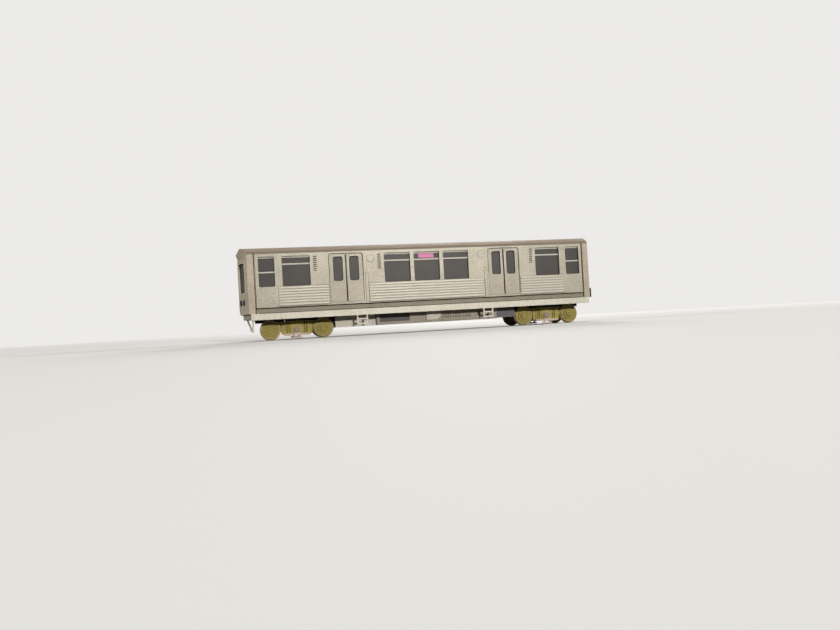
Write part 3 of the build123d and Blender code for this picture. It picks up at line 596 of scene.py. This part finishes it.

# %% [markdown]
# ## A dark lining of painted shade
#
# The gap under the side panel, the slits at the doors and the gaps beside the corner posts are
# cut right through. In a hollow body they would let light from the other side through as bright
# specks, so a dark card lines each side below the window card and at its corners. Its dark colour
# is painted shade for the inside of the body. Whether the model has one can't be told from the
# photograph, so its size and place are guessed.

# %% Lining cards of painted shade
LINING_PAST, LINING_FRONT, LINING_BACK = 1.2, 0.05, 0.17
LINING_CLEAR, LINING_LAP = 0.05, 0.1
frame_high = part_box("frame_card_near")[1] / MM
window_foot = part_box("window_card_near")[0] / MM
floor_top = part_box("floor_board")[1][2] / MM
reach_x, inner_x = frame_high[0] + LINING_PAST, window_foot[0] - LINING_LAP
lining_y = (frame_high[1] + LINING_FRONT, frame_high[1] + LINING_BACK)
lining_z, lining_top = window_foot[2] - LINING_LAP, frame_high[2] - LINING_LAP
lining = [
    (-reach_x, reach_x, *lining_y, floor_top + LINING_CLEAR, lining_z),
    (-reach_x, inner_x, *lining_y, lining_z, lining_top),
    (-inner_x, reach_x, *lining_y, lining_z, lining_top),
]
points, faces = slabs(lining)
solid_mesh("shade_lining_near", points, faces, painted_deep_shade, "window_card", "car_body", smooth=False)
solid_mesh("shade_lining_far", turned(points), faces, painted_deep_shade, "window_card", "car_body", smooth=False)
print("lining cards a side:", len(lining))

# %% [markdown]
# ## The ends
#
# Each end folds in three faces. The windows of the slanting faces get a bead like the doors'
# windows, and each lamp gets two rings, a bezel and a higher one inside it. The pieces are made
# flat, as if the face looked towards -Y, and then swung into place. They could be made at the
# slant at once, but flat they can use the same helpers as the sides. Mirroring across and a
# half turn give the other faces.

# %% From a flat card to the slanting faces
SIDE_Y, CORNER_X, NOSE_X, NOSE_HALF, END_STEPS = 20.0, 102.0, 107.3, 4.4, 7
slant = np.array([NOSE_X - CORNER_X, SIDE_Y - NOSE_HALF])
slant = slant / np.linalg.norm(slant)
slant_looks = np.array([slant[1], -slant[0]])
slant_middle = np.array([(CORNER_X + NOSE_X) / 2, -(SIDE_Y + NOSE_HALF) / 2])


def end_ring(u, z, width, height, radius, section):
    """A ring on the near slanting face of the right end. A point is the middle of the face, plus
    the flat ring's x times the direction along the face, less its y times the way it looks."""
    path, out = ring_path(u, z, width, height, radius, END_STEPS)
    flat = carry(path, out, section, 0.0)
    xy = slant_middle + flat[..., :1] * slant - flat[..., 1:2] * slant_looks
    return np.concatenate([xy, flat[..., 2:]], axis=-1)


def both_slants(grids):
    """Rings of the near slanting face and their twins on the far one: in a twin y changes sign,
    and each face is turned over so that it still looks outwards."""
    points, faces = join_grids(grids)
    return together([(points, faces), (points * np.array([1.0, -1.0, 1.0]), faces[:, ::-1])])


print("the near slanting face looks along:", slant_looks.round(3))

# %% Rims and bezels of the ends
END_WIN_U, END_WIN_LOW, END_WIN_HEAD, END_WIN_W, END_WIN_R = 2.0, 8.8, 4.1, 10.6, 0.9
END_RIM_OUT, END_RIM_BEAD = 0.2, (0.4, 0.14)
LAMPS_U, LAMP_UP = (-0.5, 5.1), 3.6

# How wide each ring of a lamp is, and its bead. The radius of a ring's corners stays a little
# short of half its width, so that no two points of the ring meet.
LAMP_RINGS, RING_SHORT = [(3.3, (0.34, 0.3)), (1.7, (0.3, 0.62))], 0.001
window_low, window_high = panel_low + END_WIN_LOW, panel_top - END_WIN_HEAD
window_size = (END_WIN_W + END_RIM_OUT, window_high - window_low + END_RIM_OUT, END_WIN_R)
window_z, lamp_z = (window_low + window_high) / 2, panel_low + LAMP_UP
window_rim = end_ring(END_WIN_U, window_z, *window_size, half_round(*END_RIM_BEAD))
lamp_rings = [
    end_ring(u, lamp_z, wide, wide, wide / 2 - RING_SHORT, half_round(*section))
    for wide, section in LAMP_RINGS for u in LAMPS_U
]
points, faces = both_slants([window_rim])
solid_mesh("end_window_rims_right", points, faces, rim_card, "silver_card", "car_body")
solid_mesh("end_window_rims_left", turned(points), faces, rim_card, "silver_card", "car_body")
print("window rims an end:", 2, "faces:", len(faces))
points, faces = both_slants(lamp_rings)
solid_mesh("lamp_bezels_right", points, faces, bezel_card, "dark_card", "car_body")
solid_mesh("lamp_bezels_left", turned(points), faces, bezel_card, "dark_card", "car_body")
print("rings on the lamps of an end:", 2 * len(lamp_rings), "faces:", len(faces))
door_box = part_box("end_door_right")
print("box of the end door in mm:", [[round(v / MM, 2) for v in corner] for corner in door_box])

# %% [markdown]
# ## Painted shade beams over the trucks
#
# Under the floor, fore and aft of each bolster, a dark beam closes the view between the wheels
# from one side to the other; its dark colour is painted shade for the shadowed underside. The
# photograph is dark there and shows no beam, so the beams are a guess. They stay between the
# side cards of the truck, so the truck can turn.

# %% Dark beams of painted shade under the floor
TRUCK_X, BOLSTER_CLEAR, BOX_CLEAR = 76.2, 0.4, 0.3
BEAM_END, OUTER_DEPTH, INNER_DEPTH = 99.5, 2.2, 3.6
BEAM_HALF, BEAM_LAP = 6.0, 0.02
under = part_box("floor_board")[0][2] / MM
bolster_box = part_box("truck_bolster_left")
bolster_half = (bolster_box[1][0] - bolster_box[0][0]) / 2 / MM
inner_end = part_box("end_box")[1][0] / MM
spans = (
    (TRUCK_X + bolster_half + BOLSTER_CLEAR, BEAM_END, OUTER_DEPTH),
    (inner_end + BOX_CLEAR, TRUCK_X - bolster_half - BOLSTER_CLEAR, INNER_DEPTH),
)
beams = []
for side in (-1, 1):
    for near, far, depth in spans:
        x0, x1 = sorted((side * near, side * far))
        beams.append((x0, x1, -BEAM_HALF, BEAM_HALF, under - depth, under + BEAM_LAP))
points, faces = slabs(beams)
solid_mesh("painted_shade_beams", points, faces, dark_card, "dark_card", "car_body", smooth=False)
print("beams under the floor:", len(beams))

# %% [markdown]
# ## Rings on the wheels
#
# Each wheel is discs of card glued up, so it shows concentric steps. The solids have the large
# steps. A thin lip near the edge of a step catches the light, as the cut edge of real card does,
# dark rings stand for scorched lines, and paler rings lie on the outer part. All are round, so
# each is a profile turned about the axle.

# %% Profiles turned about an axle
def lathe(profile, x, z, side, count=72):
    """The profile's radius and distance out along Y turned about the axle: x + r cos t, z + r sin t."""
    t = np.linspace(0, 2 * np.pi, count, endpoint=False)[:, None]
    r, y = profile[None, :, 0], profile[None, :, 1]
    grid = np.stack([x + r * np.cos(t), side * (y + 0 * t), z + r * np.sin(t)], axis=-1)
    return grid if side < 0 else grid[:, ::-1]


def on_wheel(section, radius, face):
    """A section of across and up on a wheel's face: radius plus across, face plus up."""
    return np.stack([radius + section[:, 0], face + section[:, 1]], axis=-1)


print("points of a lathe profile:", len(on_wheel(ribbon(0.26), 3.5, 11.6)))

# %% Rings on the wheels
WHEEL_FACE, RING_FACE, HUB_FACE = 11.6, 11.95, 12.3
LIPS = [(3.2, RING_FACE), (1.5, HUB_FACE)]
LINES = [(4.5, WHEEL_FACE), (3.5, WHEEL_FACE), (2.45, RING_FACE), (1.83, RING_FACE), (0.6, HUB_FACE)]
PALE_RING_R, PALE_RING_W = 5.05, 0.48
lip, line = half_round(0.3, 0.12, 6), ribbon(0.26)

# The outer ring's section as radius and depth below the wheel's face. It lies 0.04 mm over the
# solid's ring.
TYRE = np.array([(5.3, 0.95), (5.3, 0.86), (5.86, 0.86), (5.88, 0.9), (5.88, 0.95)])
tyre = np.stack([TYRE[:, 0], WHEEL_FACE - TYRE[:, 1]], axis=-1)
pale_ring = on_wheel(ribbon(PALE_RING_W), PALE_RING_R, WHEEL_FACE)

wheelsets = [name for name in nodes if name.startswith("wheelset")]
for name in wheelsets:
    low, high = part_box(name)
    x, z = (low[0] + high[0]) / 2 / MM, (low[2] + high[2]) / 2 / MM
    tail = name[len("wheelset"):]
    points, faces = join_grids([lathe(on_wheel(lip, *at), x, z, side) for side in (-1, 1) for at in LIPS])
    solid_mesh("wheel_lips" + tail, points, faces, truck_card, "truck_card", name)
    points, faces = join_grids([lathe(on_wheel(line, *at), x, z, side) for side in (-1, 1) for at in LINES])
    solid_mesh("wheel_lines" + tail, points, faces, scorched_olive, "truck_card", name)
    outer = [join_grids([lathe(shape, x, z, side) for side in (-1, 1)]) for shape in (tyre, pale_ring)]
    solid_mesh("wheel_rims" + tail, *together(outer), rim_ring_card, "truck_card", name)
print("wheelsets with rings:", len(wheelsets))

# %% [markdown]
# ## Upright ribs on the trucks
#
# The trucks' plates have upright bars on each side of the middle, and the pad over the shoe has
# a duller face with a raised ring. Each bar is a bead carried round a narrow upright outline,
# and the pad's face is turned like the rings of the wheels, by its radius and distance out.

# %% Bars and pads of the trucks
PAD_Z, PAD_COUNT = 5.5, 48
PAD_FACE = np.array([[0.3, 12.46], [0.3, 12.54], [0.6, 12.6], [0.9, 12.54], [1.9, 12.54], [2.02, 12.46]])
BARS_X, BAR_Z, BAR_SIZE, BAR_BEAD = (-5.6, -4.3, 4.3, 5.6), 6.9, (0.5, 6.2, 0.2), (0.34, 0.16)
PLATE_Y = -11.2
for label, truck_x in (("left", -TRUCK_X), ("right", TRUCK_X)):
    bars = []
    for x in BARS_X:
        path, out = ring_path(truck_x + x, BAR_Z, *BAR_SIZE)
        bars.append(carry(path, out, half_round(*BAR_BEAD), PLATE_Y))
    points, faces = join_grids(bars)
    pivot = np.array([truck_x, 0.0, 0.0])
    points, faces = together([(points, faces), (turned(points - pivot) + pivot, faces)])
    solid_mesh("truck_bars_" + label, points, faces, scorched_olive, "truck_card", "truck_" + label)
    pads = [lathe(PAD_FACE, truck_x, PAD_Z, side, PAD_COUNT) for side in (-1, 1)]
    points, faces = join_grids(pads)
    solid_mesh("shoe_pads_" + label, points, faces, pad_card, "box_card", "truck_" + label)
    print("truck", label, "bars:", 2 * len(bars), "pads:", len(pads))

# %% [markdown]
# ## The floor and the light
#
# The floor is a plain pale sheet that fades into the backdrop. The light that bounces off it
# sees a darker floor than the camera does, so the underside of the model stays dark. One small
# lamp stands in front, about half a metre up and a little to the right, so the sill throws a
# clean shadow across the trucks. Broad soft lamps and a pale world fill the rest.

# %% Floor
BACKDROP = linear(236, 235, 233)
FLOOR_R = 9000.0


def disc_grid(radius, rings=6, count=48):
    """A flat round floor: r cos t, r sin t, 0 for rings of growing radius."""
    r = radius * np.linspace(0.0001, 1, rings)[:, None] ** 2
    t = np.linspace(0, 2 * np.pi, count, endpoint=False)[None, :]
    return np.stack([r * np.cos(t), r * np.sin(t), 0 * r * t], axis=-1)


floor_grid = disc_grid(FLOOR_R)
points, quads = join_grids([floor_grid], close_u=False)
inner_ring = list(range(floor_grid.shape[1]))[::-1]
mesh = bpy.data.meshes.new("floor")
mesh.from_pydata((points * MM).tolist(), [], quads.tolist() + [inner_ring])
floor = bpy.data.objects.new("floor", mesh)
bpy.context.scene.collection.objects.link(floor)
print("floor across in m:", 2 * FLOOR_R * MM)

# %% The floor's finish
FADE_FROM, FADE_RATE, FLOOR_GLOSSY = 0.3, 0.8, 0.4
pale_floor = bpy.data.materials.new("pale_floor")
pale_floor.use_nodes = True
tree = pale_floor.node_tree
shader = tree.nodes["Principled BSDF"]
shader.inputs["Roughness"].default_value = 0.9
shader.inputs["Specular IOR Level"].default_value = 0.1
rays = tree.nodes.new("ShaderNodeLightPath")
glossy = maths(tree, "MULTIPLY", rays.outputs["Is Glossy Ray"], FLOOR_GLOSSY)
shows = maths(tree, "MAXIMUM", rays.outputs["Is Camera Ray"], glossy)
seen_colour = mixed(tree, shows, linear(80, 78, 76), linear(221, 220, 217))
tree.links.new(seen_colour, shader.inputs["Base Color"])
distance = tree.nodes.new("ShaderNodeVectorMath")
distance.operation = "LENGTH"
tree.links.new(tree.nodes.new("ShaderNodeTexCoord").outputs["Object"], distance.inputs[0])
past = maths(tree, "SUBTRACT", distance.outputs["Value"], FADE_FROM)
fade = maths(tree, "MULTIPLY", past, FADE_RATE, clamp=True)
fade = maths(tree, "MULTIPLY", fade, rays.outputs["Is Camera Ray"])
backdrop = tree.nodes.new("ShaderNodeEmission")
backdrop.inputs["Color"].default_value = BACKDROP
faded = tree.nodes.new("ShaderNodeMixShader")
tree.links.new(fade, faded.inputs[0])
tree.links.new(shader.outputs[0], faded.inputs[1])
tree.links.new(backdrop.outputs[0], faded.inputs[2])
tree.links.new(faded.outputs[0], tree.nodes["Material Output"].inputs["Surface"])
mesh.materials.append(pale_floor)
print("the floor fades out from m:", FADE_FROM, "to", round(FADE_FROM + 1 / FADE_RATE, 2))

# %% World
WORLD_LIGHT, WORLD_GLOSSY = 0.045, 0.5
world = bpy.data.worlds.new("pale_room")
bpy.context.scene.world = world
world.use_nodes = True
tree = world.node_tree
lit = tree.nodes["Background"]
lit.inputs["Color"].default_value = (1.0, 0.99, 0.975, 1.0)
lit.inputs["Strength"].default_value = WORLD_LIGHT
shown = tree.nodes.new("ShaderNodeBackground")
shown.inputs["Color"].default_value = BACKDROP
shown.inputs["Strength"].default_value = 1.0
rays = tree.nodes.new("ShaderNodeLightPath")
choose = tree.nodes.new("ShaderNodeMixShader")
glossy = maths(tree, "MULTIPLY", rays.outputs["Is Glossy Ray"], WORLD_GLOSSY)
seen = maths(tree, "MAXIMUM", rays.outputs["Is Camera Ray"], glossy)
seen = maths(tree, "MAXIMUM", seen, rays.outputs["Is Transmission Ray"])
tree.links.new(seen, choose.inputs[0])
tree.links.new(lit.outputs[0], choose.inputs[1])
tree.links.new(shown.outputs[0], choose.inputs[2])
tree.links.new(choose.outputs[0], tree.nodes["World Output"].inputs["Surface"])
print("the world lights with a strength of", WORLD_LIGHT, "and shows as the backdrop")

# %% Lamps
AIM = (0, 0, 0.03)


def lamp(name, place, size, power, colour=(1.0, 0.985, 0.96)):
    """A square lamp in metres that faces the model. Its turn takes -Z to the point AIM."""
    data = bpy.data.lights.new(name, "AREA")
    data.size, data.energy, data.color = size, power, colour
    light = bpy.data.objects.new(name, data)
    back = np.array(place, float) - np.array(AIM, float)
    back /= np.linalg.norm(back)
    side = np.cross((0, 0, 1), back)
    side /= np.linalg.norm(side)
    turn = np.eye(4)
    turn[:3, 0], turn[:3, 1], turn[:3, 2], turn[:3, 3] = side, np.cross(back, side), back, place
    light.matrix_world = Matrix(turn.tolist())
    bpy.context.scene.collection.objects.link(light)


lamp("key", (0.30, -1.55, 0.56), 0.07, 16.4)
lamp("front_fill", (-0.3, -1.1, 1.3), 0.3, 1.5)
lamp("back_fill", (0.5, 1.6, 0.7), 0.5, 17.0)
lamp("left_fill", (-1.6, -0.2, 0.7), 0.5, 13.0)
lamp("right_fill", (1.6, 0.3, 0.7), 0.5, 13.0)
lamp("top", (0.0, 0.1, 1.7), 0.9, 6.0)
print("lamps:", len(bpy.data.lights))

# %% [markdown]
# ## The view transform
#
# The picture is shown through the Standard view transform.

# %% The view transform
view_settings = bpy.context.scene.view_settings
view_settings.view_transform = "Standard"
